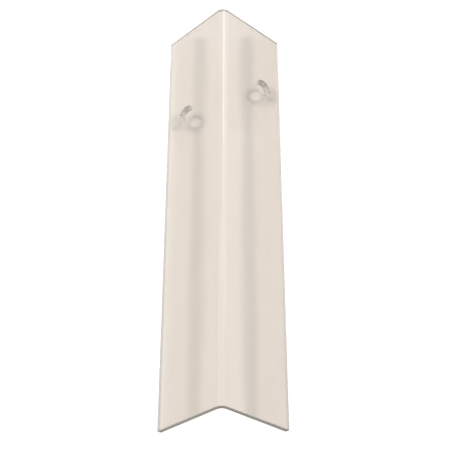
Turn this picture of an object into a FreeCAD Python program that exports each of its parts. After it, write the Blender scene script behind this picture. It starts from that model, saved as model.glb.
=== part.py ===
import FreeCAD, Part
import os

import Sketcher

# A clear plastic corner guard: an angle strip, extruded in one piece, that covers an outside wall
# corner. It lies on its two wing tips with its rounded nose up, like a tent.
# X runs across it, Y along it towards the drilled end, and Z up.
# The section is drawn with its sharp outer corner at the body's own origin: the left wing runs
# along x on the plane z = 0, and the right wing runs along z on the plane x = 0.

# Driving dimensions, in millimetres and degrees. A hole's reach is its distance from the sharp outer
# corner, along its wing, and its setback is its distance from the drilled end.
DIMENSIONS = {
    "length": 155.0,
    "wing_width": 28.6,
    "wall": 1.6,
    "nose_radius": 2.8,
    "inner_radius": 2.0,
    "tip_radius": 0.3,
    "screw_hole": 4.0,
    "countersink": 6.8,
    "countersink_angle": 90.0,
    "left_hole_reach": 18.9,
    "left_hole_setback": 38.3,
    "right_hole_reach": 20.3,
    "right_hole_setback": 26.3,
}

NOSE_UP_DEG = 135.0  # turns the section about Y, so that its corner is on top and both wings slope alike
START, END, CENTRE = 1, 2, 3  # the ends of a sketched line, and the centre of a circle
AXES = -1  # what a sketch calls its own horizontal axis, which starts at its origin
NEAR = 1e-6  # how close to a spot an edge's middle has to lie

doc = FreeCAD.newDocument("corner_guard")

sizes = doc.addObject("Spreadsheet::Sheet", "sizes")
for row, (name, value) in enumerate(DIMENSIONS.items(), start=1):
    sizes.set(f"A{row}", name)
    sizes.set(f"B{row}", str(value))
    sizes.setAlias(f"B{row}", name)
doc.recompute()

guard = doc.addObject("PartDesign::Body", "guard")
guard.Label = "corner_guard"


def new_sketch(name, plane):
    """An empty sketch on one of the body's origin planes."""
    sketch = guard.newObject("Sketcher::SketchObject", name)
    support = next(f for f in guard.Origin.OriginFeatures if f.Role == plane)
    sketch.AttachmentSupport = [(support, "")]
    sketch.MapMode = "FlatFace"
    return sketch


def dimension(sketch, name, expression, *constraint):
    """A named dimension of the sketch, tied to the sheet."""
    index = sketch.addConstraint(Sketcher.Constraint(*constraint))
    sketch.renameConstraint(index, name)
    sketch.setExpression(f"Constraints.{name}", expression)


def draw_section():
    """The angle section: two equal wings with sharp corners."""
    wing, wall = sizes.wing_width, sizes.wall
    corners = [(0, 0), (wing, 0), (wing, wall), (wall, wall), (wall, wing), (0, wing)]
    points = [FreeCAD.Vector(x, z, 0) for x, z in corners]
    sketch = new_sketch("section", "XZ_Plane")
    lines = [
        sketch.addGeometry(Part.LineSegment(point, points[(i + 1) % len(points)]))
        for i, point in enumerate(points)
    ]
    for line in lines:
        following = lines[(line + 1) % len(lines)]
        sketch.addConstraint(Sketcher.Constraint("Coincident", line, END, following, START))
        sketch.addConstraint(Sketcher.Constraint("Vertical" if line % 2 else "Horizontal", line))
    left_face, left_tip, _, _, right_tip, right_face = lines
    sketch.addConstraint(Sketcher.Constraint("Coincident", left_face, START, AXES, START))
    dimension(sketch, "left_wing", "sizes.wing_width", "Distance", left_face, wing)
    dimension(sketch, "right_wing", "sizes.wing_width", "Distance", right_face, wing)
    dimension(sketch, "left_wall", "sizes.wall", "Distance", left_tip, wall)
    dimension(sketch, "right_wall", "sizes.wall", "Distance", right_tip, wall)
    return sketch


def extrude(section):
    """The strip, with half of its length on each side of the section."""
    strip = guard.newObject("PartDesign::Pad", "strip")
    strip.Profile = section
    strip.SideType = "Symmetric"
    strip.setExpression("Length", "sizes.length")
    doc.recompute()
    return strip


def round_edges(name, base, radius, spots):
    """Rounds the lengthwise edges of the base that pass through these spots of the section."""
    middles = [FreeCAD.Vector(x, 0, z) for x, z in spots]
    edges = [
        f"Edge{number}"
        for number, edge in enumerate(base.Shape.Edges, start=1)
        if any(edge.CenterOfMass.distanceToPoint(middle) < NEAR for middle in middles)
    ]
    rounded = guard.newObject("PartDesign::Fillet", name)
    rounded.Base = (base, edges)
    rounded.setExpression("Radius", f"sizes.{radius}")
    doc.recompute()
    return rounded


def drill(side, plane, reach_kind, offset_kind):
    """A countersunk screw hole through one wing, sunk from its outer face, which lies on the plane."""
    reach = sizes.get(f"{side}_hole_reach")
    offset = sizes.length / 2 - sizes.get(f"{side}_hole_setback")
    bore = sizes.screw_hole
    sketch = new_sketch(f"{side}_hole_place", plane)
    circle = sketch.addGeometry(
        Part.Circle(FreeCAD.Vector(reach, offset, 0), FreeCAD.Vector(0, 0, 1), bore / 2)
    )
    ends = (AXES, START, circle, CENTRE)
    dimension(sketch, "bore", "sizes.screw_hole", "Diameter", circle, bore)
    dimension(sketch, "reach", f"sizes.{side}_hole_reach", reach_kind, *ends, reach)
    dimension(sketch, "offset", f"sizes.length / 2 - sizes.{side}_hole_setback", offset_kind, *ends, offset)
    doc.recompute()
    undrilled = guard.Shape.Volume
    hole = guard.newObject("PartDesign::Hole", f"{side}_screw_hole")
    hole.Profile = sketch
    hole.Reversed = True
    hole.DepthType = "ThroughAll"
    hole.HoleCutType = "Countersink"
    hole.setExpression("Diameter", "sizes.screw_hole")
    hole.setExpression("HoleCutDiameter", "sizes.countersink")
    hole.setExpression("HoleCutCountersinkAngle", "sizes.countersink_angle")
    doc.recompute()
    if guard.Shape.Volume >= undrilled:
        raise RuntimeError(f"{hole.Name} cuts nothing")


wing, wall = sizes.wing_width, sizes.wall
tips = [(wing, 0), (wing, wall), (0, wing), (wall, wing)]
strip = extrude(draw_section())
nosed = round_edges("nose", strip, "nose_radius", [(0, 0)])
cornered = round_edges("inner_corner", nosed, "inner_radius", [(wall, wall)])
round_edges("wing_tips", cornered, "tip_radius", tips)
drill("left", "XY_Plane", "DistanceX", "DistanceY")
drill("right", "YZ_Plane", "DistanceY", "DistanceX")

# The strip stands on the rounded inner edges of its wing tips, on the floor at z = 0.
guard.Placement.Rotation = FreeCAD.Rotation(FreeCAD.Vector(0, 1, 0), NOSE_UP_DEG)
guard.setExpression(
    "Placement.Base.z",
    "(sizes.wing_width + sizes.wall) / sqrt(2) - (sqrt(2) - 1) * sizes.tip_radius",
)
doc.recompute()

failed = [o.Name for o in doc.Objects if {"Invalid", "Error"} & set(o.State)]
if failed:
    raise RuntimeError(f"failed features: {failed}")
if guard.Shape.isNull() or not guard.Shape.isValid():
    raise RuntimeError("the strip has no valid shape")

os.makedirs("parts", exist_ok=True)
guard.Shape.exportStep(f"parts/{guard.Label}.step")
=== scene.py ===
import math

import bmesh
import bpy
from mathutils import Matrix, Vector


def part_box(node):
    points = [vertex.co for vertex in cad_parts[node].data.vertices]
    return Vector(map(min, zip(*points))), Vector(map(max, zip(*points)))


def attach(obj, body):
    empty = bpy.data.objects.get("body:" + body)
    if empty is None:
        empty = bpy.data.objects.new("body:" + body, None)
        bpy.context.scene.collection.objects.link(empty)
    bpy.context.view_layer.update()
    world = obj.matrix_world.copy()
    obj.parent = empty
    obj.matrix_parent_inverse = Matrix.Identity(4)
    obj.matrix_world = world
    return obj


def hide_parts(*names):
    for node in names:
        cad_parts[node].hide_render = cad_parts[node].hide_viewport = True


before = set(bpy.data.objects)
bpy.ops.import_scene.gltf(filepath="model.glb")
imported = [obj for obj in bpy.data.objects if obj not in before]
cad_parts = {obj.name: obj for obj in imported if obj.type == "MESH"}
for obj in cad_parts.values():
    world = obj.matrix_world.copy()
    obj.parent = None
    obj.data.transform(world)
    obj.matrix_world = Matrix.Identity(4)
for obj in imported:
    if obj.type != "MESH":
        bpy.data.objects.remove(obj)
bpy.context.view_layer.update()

# Corner guard: one clear, warm-tinted plastic angle strip, extruded in a die and sawn to length. It has
# a rounded nose and two equal wings with eased tips, and lies on the tips with its nose up. Its sizes
# are in metres.
WALL = 0.0016
NOSE_RADIUS = 0.0028
INNER_RADIUS = 0.0020
TIP_RADIUS = 0.0003
NOSE_STEPS, INNER_STEPS, TIP_STEPS = 24, 16, 5
FLAT = math.radians(1)
HAIR = 1e-5  # how far off still counts as touching

low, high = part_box("corner_guard")
length = high.y - low.y
wing = math.sqrt(2) * high.x + (2 - math.sqrt(2)) * TIP_RADIUS
lift = (wing + WALL) / math.sqrt(2) - (math.sqrt(2) - 1) * TIP_RADIUS


def pick(piece, kind, wanted):
    """Selects the edges or faces of a piece in edit mode whose middle passes the test."""
    bpy.ops.mesh.select_all(action="DESELECT")
    mesh = bmesh.from_edit_mesh(piece.data)
    for part in getattr(mesh, kind):
        middle = sum((v.co for v in part.verts), Vector()) / len(part.verts)
        part.select_set(wanted(part, middle))
    bmesh.update_edit_mesh(piece.data)


def near(value, target):
    return abs(value - target) < HAIR


def settle():
    """Puts the active object's place, turn and size into its mesh."""
    bpy.ops.object.transform_apply(location=True, rotation=True, scale=True)


def pull_up(distance):
    """Extrudes what is selected upwards."""
    bpy.ops.mesh.extrude_region_move(TRANSFORM_OT_translate={"value": (0, 0, distance)})


def round_over(radius, steps, wanted):
    """Rounds the guard's lengthwise edges whose middle passes the test."""

    def passes(edge, middle):
        start, end = edge.verts
        return abs(start.co.y - end.co.y) > length / 2 and wanted(middle)

    pick(guard, "edges", passes)
    bpy.ops.mesh.bevel(offset=radius, segments=steps, affect="EDGES")


# The section's corner lies at the origin here: the left wing runs along x and the right one along z.
bpy.ops.object.select_all(action="DESELECT")
bpy.ops.mesh.primitive_cube_add(size=1, location=(wing / 2, 0, WALL / 2), scale=(wing, length, WALL))
guard = bpy.context.object
guard.name = "guard"
settle()
bpy.ops.object.mode_set(mode="EDIT")
bpy.ops.mesh.select_mode(type="FACE")
bpy.ops.mesh.select_all(action="SELECT")
bpy.ops.mesh.bisect(plane_co=(WALL, 0, 0), plane_no=(1, 0, 0))
pick(guard, "faces", lambda face, middle: near(middle.z, WALL) and middle.x < WALL)
pull_up(wing - WALL)
bpy.ops.mesh.select_all(action="SELECT")
bpy.ops.mesh.dissolve_limited(angle_limit=FLAT)
bpy.ops.mesh.select_mode(type="EDGE")
round_over(NOSE_RADIUS, NOSE_STEPS, lambda middle: near(middle.x, 0) and near(middle.z, 0))
round_over(INNER_RADIUS, INNER_STEPS, lambda middle: near(middle.x, WALL) and near(middle.z, WALL))
round_over(TIP_RADIUS, TIP_STEPS, lambda middle: max(middle.x, middle.z) > wing - HAIR)
bpy.ops.object.mode_set(mode="OBJECT")

# Screw holes: one through each wing near the far end, drilled and countersunk from outside. A hole's
# reach is its distance from the section's corner, and its setback its distance from the far end.
SCREW_HOLE = 0.0040
COUNTERSINK = 0.0068
COUNTERSINK_ANGLE = math.radians(90)
DRILL_STEPS = 96
HOLES = {
    "left": {"reach": 0.0189, "setback": 0.0383},
    "right": {"reach": 0.0203, "setback": 0.0263},
}

slope = math.tan(COUNTERSINK_ANGLE / 2)
sink_depth = (COUNTERSINK - SCREW_HOLE) / 2 / slope
spare = WALL / 2
mouth = COUNTERSINK / 2 + spare * slope
narrowing = SCREW_HOLE / 2 / mouth
for side, hole in HOLES.items():
    hole["offset"] = length / 2 - hole["setback"]
    bpy.ops.object.select_all(action="DESELECT")
    bpy.ops.mesh.primitive_circle_add(
        vertices=DRILL_STEPS, radius=mouth, fill_type="NGON", location=(0, 0, -spare)
    )
    drill = bpy.context.object
    settle()
    bpy.ops.object.mode_set(mode="EDIT")
    bpy.ops.mesh.select_all(action="SELECT")
    pull_up(spare + sink_depth)
    bpy.ops.transform.resize(value=(narrowing, narrowing, 1))
    pull_up(WALL + spare - sink_depth)
    bpy.ops.mesh.select_all(action="SELECT")
    bpy.ops.mesh.normals_make_consistent(inside=False)
    bpy.ops.object.mode_set(mode="OBJECT")
    if side == "left":
        drill.location = (hole["reach"], hole["offset"], 0)
    else:
        drill.rotation_euler = (0, math.radians(90), 0)
        drill.location = (0, hole["offset"], hole["reach"])
    settle()
    bpy.ops.object.select_all(action="DESELECT")
    guard.select_set(True)
    bpy.context.view_layer.objects.active = guard
    bpy.ops.object.modifier_add(type="BOOLEAN")
    cut = guard.modifiers[-1]
    cut.object = drill
    cut.operation = "DIFFERENCE"
    cut.solver = "EXACT"
    bpy.ops.object.modifier_apply(modifier=cut.name)
    bpy.data.objects.remove(drill)

# Extruded faces: clear and glossy, with faint streaks drawn lengthwise by the die, and grey painted shade
# along the wing tips.
# The nose bends lamp light aside, so it throws a soft shadow to each side, and so do the holes' rims.
PLASTIC_IOR = 1.58
BLACK, WHITE = (0, 0, 0, 1), (1, 1, 1, 1)
NOISE_MIDDLE = 0.5
STREAK_RUN = (700, 5, 700)
STREAK_SHARE = 0.6
STREAK_TINT, CLEAR_TINT = (0.942, 0.898, 0.864, 1), (1.0, 0.962, 0.929, 1)
RIM_START, RIM_END = 0.0011, 0.0005
RIM_SHARE, RIM_FADE_ALONG, RIM_FADE_ACROSS = 0.72, 4, 14
TIP_SHADE_TINT = (0.47, 0.49, 0.52, 1)
FILM_TINT = (0.995, 0.985, 0.97, 1)
EDGE_ON_LOSS = 0.08
BEND_SHIFT, BEND_CHANGE = 0.0024, 0.8
NOSE_BAND = (0.0030, 0.0010)
NOSE_TINT = (0.54, 0.53, 0.515, 1)
BURR_BAND = (0.0058**2, 0.0034**2)
BURR_SHARE = 0.24
TIP_BAND = (0.0024, 0.0014)


class Wire:
    """An output socket of a node tree. Arithmetic on it adds the Math nodes."""

    def __init__(self, tree, socket):
        self.tree = tree
        self.socket = socket

    @staticmethod
    def node(tree, kind, settings={}, sockets={}):
        """Adds a node, sets it up, fills its sockets with values or links, and gives its outputs."""
        node = tree.nodes.new(kind)
        for name, value in settings.items():
            setattr(node, name, value)
        inputs = {socket.identifier: socket for socket in node.inputs}
        for name, value in sockets.items():
            if isinstance(value, Wire):
                tree.links.new(value.socket, inputs[name])
            else:
                inputs[name].default_value = value
        return {socket.identifier: Wire(tree, socket) for socket in node.outputs}

    def math(self, operation, first, second):
        sockets = {"Value": first, "Value_001": second}
        return Wire.node(self.tree, "ShaderNodeMath", {"operation": operation}, sockets)["Value"]

    def __add__(self, other):
        return self.math("ADD", self, other)

    __radd__ = __add__

    def __sub__(self, other):
        return self.math("SUBTRACT", self, other)

    def __rsub__(self, other):
        return self.math("SUBTRACT", other, self)

    def __mul__(self, other):
        return self.math("MULTIPLY", self, other)

    __rmul__ = __mul__

    def __abs__(self):
        return self.math("ABSOLUTE", self, 0)

    def __lt__(self, other):
        return self.math("LESS_THAN", self, other)

    def ramp(self, start, end):
        """0 at start and 1 at end, with a soft run between them."""
        settings = {"interpolation_type": "SMOOTHSTEP"}
        sockets = {"Value": self, "From Min": start, "From Max": end}
        return Wire.node(self.tree, "ShaderNodeMapRange", settings, sockets)["Result"]


def new_finish(name):
    """A new material, its empty node tree, the place on its piece, and that place along the axes."""
    material = bpy.data.materials.new(name)
    material.use_nodes = True
    tree = material.node_tree
    tree.nodes.clear()
    place = Wire.node(tree, "ShaderNodeTexCoord")["Object"]
    axes = Wire.node(tree, "ShaderNodeSeparateXYZ", {}, {"Vector": place})
    return material, tree, place, axes


def noise(tree, place, scale, detail):
    sockets = {"Vector": place, "Scale": scale, "Detail": detail}
    return Wire.node(tree, "ShaderNodeTexNoise", {}, sockets)["Fac"]


def relief(tree, height, strength, distance):
    sockets = {"Height": height, "Strength": strength, "Distance": distance}
    return Wire.node(tree, "ShaderNodeBump", {}, sockets)["Normal"]


def edge_on(tree):
    """0 where a face is seen square on, and 1 where it is seen edge on."""
    return Wire.node(tree, "ShaderNodeLayerWeight", {}, {"Blend": 0.5})["Facing"]


def blended(tree, share, first, second):
    """The first colour, and the second one for this share."""
    colours = {"Factor_Float": share, "A_Color": first, "B_Color": second}
    return Wire.node(tree, "ShaderNodeMix", {"data_type": "RGBA"}, colours)["Result_Color"]


def skin(tree, finish):
    return Wire.node(tree, "ShaderNodeBsdfPrincipled", {}, finish)["BSDF"]


def clear(tree, tint):
    return Wire.node(tree, "ShaderNodeBsdfTransparent", {}, {"Color": tint})["BSDF"]


def mixed(tree, share, first, second):
    """The first shader, and the second one for this share."""
    shaders = {"Fac": share, "Shader": first, "Shader_001": second}
    return Wire.node(tree, "ShaderNodeMixShader", {}, shaders)["Shader"]


def finished(tree, surface, films):
    """Ends a material: light on the named kinds of path meets a film in place of the surface."""
    path = Wire.node(tree, "ShaderNodeLightPath")
    for lighting, film in films.items():
        surface = mixed(tree, path[lighting], surface, film)
    Wire.node(tree, "ShaderNodeOutputMaterial", {}, {"Surface": surface})


def from_hole(axes):
    """How far a place on a wing lies beyond its screw hole, and outward of it."""
    left, right = HOLES["left"], HOLES["right"]
    on_left = axes["X"] < 0
    beyond = axes["Y"] - right["offset"] + on_left * (right["offset"] - left["offset"])
    outward = abs(axes["X"]) * math.sqrt(2) - right["reach"] + on_left * (right["reach"] - left["reach"])
    return beyond, outward


plastic, tree, place, axes = new_finish("clear_plastic")
drawn = Wire.node(tree, "ShaderNodeMapping", {}, {"Vector": place, "Scale": STREAK_RUN})["Vector"]
streaks = noise(tree, drawn, scale=1, detail=3)
blotches = noise(tree, place, scale=140, detail=3)
tint = blended(tree, streaks * STREAK_SHARE + blotches * (1 - STREAK_SHARE), STREAK_TINT, CLEAR_TINT)
# Painted shade: grey along the wing tips, weaker towards the far end and on the right wing.
tip_shade = abs(axes["X"]).ramp(high.x - RIM_START, high.x - RIM_END)
tip_shade = tip_shade * (RIM_SHARE - axes["Y"] * RIM_FADE_ALONG - axes["X"] * RIM_FADE_ACROSS)
finish = {
    "Base Color": blended(tree, tip_shade, tint, TIP_SHADE_TINT),
    "Roughness": 0.03,
    "IOR": PLASTIC_IOR,
    "Transmission Weight": 1.0,
    "Normal": relief(tree, streaks, strength=0.03, distance=0.0002),
}
facing = edge_on(tree)
film = mixed(tree, facing * facing * EDGE_ON_LOSS, clear(tree, FILM_TINT), clear(tree, BLACK))
bends = noise(tree, place, scale=45, detail=2) - NOISE_MIDDLE
nose = (abs(axes["X"]) + bends * BEND_SHIFT).ramp(*NOSE_BAND) * (1 + bends * BEND_CHANGE)
lamp_film = mixed(tree, nose, film, clear(tree, NOSE_TINT))
beyond, outward = from_hole(axes)
burr = (beyond * beyond + outward * outward).ramp(*BURR_BAND)
lamp_film = mixed(tree, burr * BURR_SHARE, lamp_film, clear(tree, BLACK))
room_film = mixed(tree, axes["Z"].ramp(*TIP_BAND), film, clear(tree, WHITE))
finished(tree, skin(tree, finish), {"Is Reflection Ray": room_film, "Is Shadow Ray": lamp_film})

# Sawn faces: the two ends, dull and grey, cut square with a saw. The undrilled end is painted darker than
# the far one, and darker still towards the inner side of the wall, as painted shade. Its film lets less
# light through.
SAW_SHARE = 0.4
SHADE_DEPTH_BAND = (0.0001, 0.0009)
SHADED_OUTER_GREY, SHADED_INNER_GREY = (0.55, 0.535, 0.52, 1), (0.34, 0.33, 0.315, 1)
FAR_GREY = (0.70, 0.695, 0.685, 1)
SAW_MARK = (0.18, 0.17, 0.16, 1)
FAR_FILM, NEAR_FILM = (0.85, 0.85, 0.85, 1), (0.28, 0.28, 0.28, 1)

sawn_plastic, tree, place, axes = new_finish("sawn_plastic")
marks = noise(tree, place, scale=2500, detail=2)
near_end = axes["Y"] < 0
depth = (lift - abs(axes["X"]) - axes["Z"]) * math.sqrt(0.5)
# Painted shade: the undrilled end's grey darkens towards the inner side of the wall.
tint = blended(tree, depth.ramp(*SHADE_DEPTH_BAND), SHADED_OUTER_GREY, SHADED_INNER_GREY)
tint = blended(tree, near_end, FAR_GREY, tint)
finish = {
    "Base Color": blended(tree, marks * SAW_SHARE, tint, SAW_MARK),
    "Roughness": 0.6,
    "IOR": PLASTIC_IOR,
    "Normal": relief(tree, marks, strength=0.3, distance=0.0001),
}
film = mixed(tree, near_end, clear(tree, FAR_FILM), clear(tree, NEAR_FILM))
finished(tree, skin(tree, finish), {"Is Reflection Ray": film, "Is Shadow Ray": film})

# Drilled faces: clear, but rough from the bit. Light that enters their far side stays in the wing, so a
# dull grey surface is mixed in as painted shade: fully on the far and outer side, half elsewhere. They
# send lamp light aside, which leaves a ring of shadow by each hole.
BORE_TINT, BORE_FILM = (0.88, 0.83, 0.78, 1), (0.95, 0.94, 0.92, 1)
BIT_BAND = (0.35, 0.65)
DARK_SHADE_MARK, PALE_SHADE_MARK = (0.29, 0.256, 0.224, 1), (0.50, 0.45, 0.40, 1)
OUTWARD_SHARE = 0.45
MARK_SHIFT = 0.008
FAR_SIDE_BAND = (-0.0020, 0.0036)
LEAST_DULL = 0.5
RING_BAND = (0.05, 0.25)
PALE_RING, DARK_RING = (0.50, 0.49, 0.48, 1), (0.15, 0.15, 0.15, 1)

drilled_plastic, tree, place, axes = new_finish("drilled_plastic")
marks = noise(tree, place, scale=900, detail=2)
scratches = relief(tree, marks, strength=0.7, distance=0.0003)
finish = {
    "Base Color": BORE_TINT,
    "Roughness": 0.25,
    "IOR": PLASTIC_IOR,
    "Transmission Weight": 1.0,
    "Normal": scratches,
}
rough = skin(tree, finish)
# The dull surface is painted shade: dark grey with paler bit marks.
finish = {
    "Base Color": blended(tree, marks.ramp(*BIT_BAND), DARK_SHADE_MARK, PALE_SHADE_MARK),
    "Roughness": 0.5,
    "IOR": PLASTIC_IOR,
    "Normal": scratches,
}
dull = skin(tree, finish)
beyond, outward = from_hole(axes)
far_side = beyond + outward * OUTWARD_SHARE + (marks - NOISE_MIDDLE) * MARK_SHIFT
far_side = far_side.ramp(*FAR_SIDE_BAND)
surface = mixed(tree, far_side * (1 - LEAST_DULL) + LEAST_DULL, rough, dull)
film = clear(tree, BORE_FILM)
shadow = mixed(tree, edge_on(tree).ramp(*RING_BAND), clear(tree, PALE_RING), clear(tree, DARK_RING))
finished(tree, surface, {"Is Reflection Ray": film, "Is Shadow Ray": shadow})

# The finishes go on the faces of the guard while its wings still lie along the axes. Then it is turned
# nose up onto its wing tips, and stands for its solid in the frame.
NOSE_UP = math.radians(135)
SMOOTH_BELOW = math.radians(30)
SQUARE_ON = 0.9
EVEN_WEIGHT = 100


def sawn(face, middle):
    return near(abs(middle.y), length / 2)


def drilled(face, middle):
    left, right = HOLES["left"], HOLES["right"]
    sunk = COUNTERSINK / 2 + HAIR
    in_left = math.hypot(middle.x - left["reach"], middle.y - left["offset"]) < sunk
    in_right = math.hypot(middle.z - right["reach"], middle.y - right["offset"]) < sunk
    return (in_left and abs(face.normal.z) < SQUARE_ON) or (in_right and abs(face.normal.x) < SQUARE_ON)


guard.data.materials.clear()
guard.data.materials.append(plastic)
bpy.ops.object.mode_set(mode="EDIT")
bpy.ops.mesh.select_mode(type="FACE")
for material, wanted in ((sawn_plastic, sawn), (drilled_plastic, drilled)):
    guard.data.materials.append(material)
    pick(guard, "faces", wanted)
    guard.active_material_index = len(guard.data.materials) - 1
    bpy.ops.object.material_slot_assign()
bpy.ops.object.mode_set(mode="OBJECT")

guard.rotation_euler = (0, NOSE_UP, 0)
guard.location = (0, 0, lift)
settle()
bpy.ops.object.shade_smooth_by_angle(angle=SMOOTH_BELOW)
bpy.ops.object.modifier_add(type="WEIGHTED_NORMAL")
even = guard.modifiers[-1]
even.keep_sharp = True
even.weight = EVEN_WEIGHT
bpy.ops.object.modifier_apply(modifier=even.name)
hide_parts("corner_guard")
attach(guard, "root")

# Floor: a plain, pale, matt table, with painted shade that darkens it towards the far right. Beside the
# guard the camera sees it lifted to white; under the guard the lift is left off, as painted shade, so
# there it keeps its own warm tone and the shadows. A strip of table to the left of the guard glows for
# reflected rays only, a painted reflection of a white card in the left wing.
TABLE_RADIUS, TABLE_STEPS = 4, 64
TABLE_TONE, SHADED_TONE = (0.724, 0.685, 0.643, 1), (0.700, 0.660, 0.612, 1)
DIM_ALONG, DIM_ACROSS = (0.04, 0.09), (-0.002, 0.012)
SOFT_EDGE = 0.002
NEAR_EDGE_START, NEAR_EDGE_END = 0.010, 0.014
WHITENING = 0.40
CARD_BAND = (-0.03, -0.09)
CARD_FAR = (0.2, 0.2, 0.2, 1)
CARD_GLOW = 0.9

bpy.ops.object.select_all(action="DESELECT")
bpy.ops.mesh.primitive_circle_add(vertices=TABLE_STEPS, radius=TABLE_RADIUS, fill_type="NGON")
floor = bpy.context.object
floor.name = "floor"
table, tree, _, axes = new_finish("white_table")
# Painted shade: under the guard the lift is left off, so the floor seen through the screw holes stays
# darker.
across = abs(axes["X"]).ramp(high.x, high.x - SOFT_EDGE)
along = axes["Y"].ramp(low.y + NEAR_EDGE_START, low.y + NEAR_EDGE_END)
along = along * axes["Y"].ramp(high.y, high.y - SOFT_EDGE)
bare = blended(tree, across * along, WHITE, BLACK)
# Painted reflection: the table left of the guard glows for reflected rays only, standing for a white card.
painted_card_glow = blended(tree, axes["X"].ramp(*CARD_BAND), WHITE, CARD_FAR)
painted_card_glow = blended(tree, axes["X"] < low.x, BLACK, painted_card_glow)
# Painted shade: the table darkens towards the far right.
far_right_shade = axes["Y"].ramp(*DIM_ALONG) * axes["X"].ramp(*DIM_ACROSS)
paint = {
    "Base Color": blended(tree, far_right_shade, TABLE_TONE, SHADED_TONE),
    "Roughness": 1.0,
    "Specular IOR Level": 0.0,
}
lifted = skin(tree, {**paint, "Emission Color": bare, "Emission Strength": WHITENING})
card_reflection_glow = skin(tree, {**paint, "Emission Color": painted_card_glow, "Emission Strength": CARD_GLOW})
finished(tree, skin(tree, paint), {"Is Camera Ray": lifted, "Is Reflection Ray": card_reflection_glow})
floor.data.materials.append(table)

# Studio light: a white room, a soft lamp on each side of the guard that leans in over it, and
# softboxes behind it and to its right that draw bright lines along its nose and right wing. The room
# looks white, but lights matt faces less. Leans, spreads, feet and tops are in degrees.
ROOM_LIGHT = 0.35
LAMP_SPREAD = math.radians(6)
TOWARDS_CAMERA = math.radians(10)
LAMPS = (("left", -23.3, 1.13), ("right", 25, 1.03))
BACK_DISTANCE = 1.6
SOFTBOXES = (
    (83, 12, 52, 78, 0.30),
    (24, 56, 42, 60, 0.85),
    (30, 48, 60, 75, 0.62),
    (-22, 36, 58, 78, 0.5),
    (14, 10, 42, 70, 0.4),
    (14, 10, 42, 62, 0.5),
    (14, 10, 42, 53, 2.4),
)

world = bpy.data.worlds.new("studio")
bpy.context.scene.world = world
world.use_nodes = True
tree = world.node_tree
tree.nodes.clear()
path = Wire.node(tree, "ShaderNodeLightPath")
seen = path["Diffuse Depth"] < 1
room = {"Color": WHITE, "Strength": ROOM_LIGHT + (1 - ROOM_LIGHT) * seen}
room = Wire.node(tree, "ShaderNodeBackground", {}, room)["Background"]
Wire.node(tree, "ShaderNodeOutputWorld", {}, {"Surface": room})

for side, lean, level in LAMPS:
    lamp = bpy.data.lights.new(f"{side}_lamp", "SUN")
    lamp.energy = level
    lamp.angle = LAMP_SPREAD
    holder = bpy.data.objects.new(f"{side}_lamp", lamp)
    holder.rotation_euler = (TOWARDS_CAMERA, math.radians(lean), 0)
    bpy.context.scene.collection.objects.link(holder)

for lean, spread, foot, top, glow in SOFTBOXES:
    tall = math.radians(top - foot)
    height = math.radians(top + foot) / 2
    box = bpy.data.lights.new("back_softbox", "AREA")
    box.shape = "RECTANGLE"
    box.size = 2 * BACK_DISTANCE * math.tan(math.radians(spread / 2))
    box.size_y = 2 * BACK_DISTANCE * math.tan(tall / 2)
    box.energy = math.pi * box.size * box.size_y * glow
    holder = bpy.data.objects.new("back_softbox", box)
    turn = Matrix.Rotation(math.radians(lean), 4, "Y") @ Matrix.Rotation(height - math.radians(90), 4, "X")
    holder.matrix_world = turn @ Matrix.Translation((0, 0, BACK_DISTANCE))
    bpy.context.scene.collection.objects.link(holder)

# Camera: a long lens near the undrilled end of the guard, looking steeply down along it. Its place,
# turn, height and roll come from the straight edges of the strip.
SENSOR, FOCAL_LENGTH = 36, 89.8
CAMERA_PLACE = (0.00883, -0.20765, 0.32255)
CAMERA_TURN = math.radians(2.353)
CAMERA_TILT = math.radians(90 - 57.55)
CAMERA_ROLL = math.radians(-2.686)

lens = bpy.data.cameras.new("camera")
lens.sensor_width = SENSOR
lens.lens = FOCAL_LENGTH
camera = bpy.data.objects.new("camera", lens)
camera.matrix_world = (
    Matrix.Translation(CAMERA_PLACE)
    @ Matrix.Rotation(CAMERA_TURN, 4, "Z")
    @ Matrix.Rotation(CAMERA_TILT, 4, "X")
    @ Matrix.Rotation(CAMERA_ROLL, 4, "Z")
)
bpy.context.scene.collection.objects.link(camera)
bpy.context.scene.camera = camera
bpy.context.scene.view_settings.view_transform = "Standard"
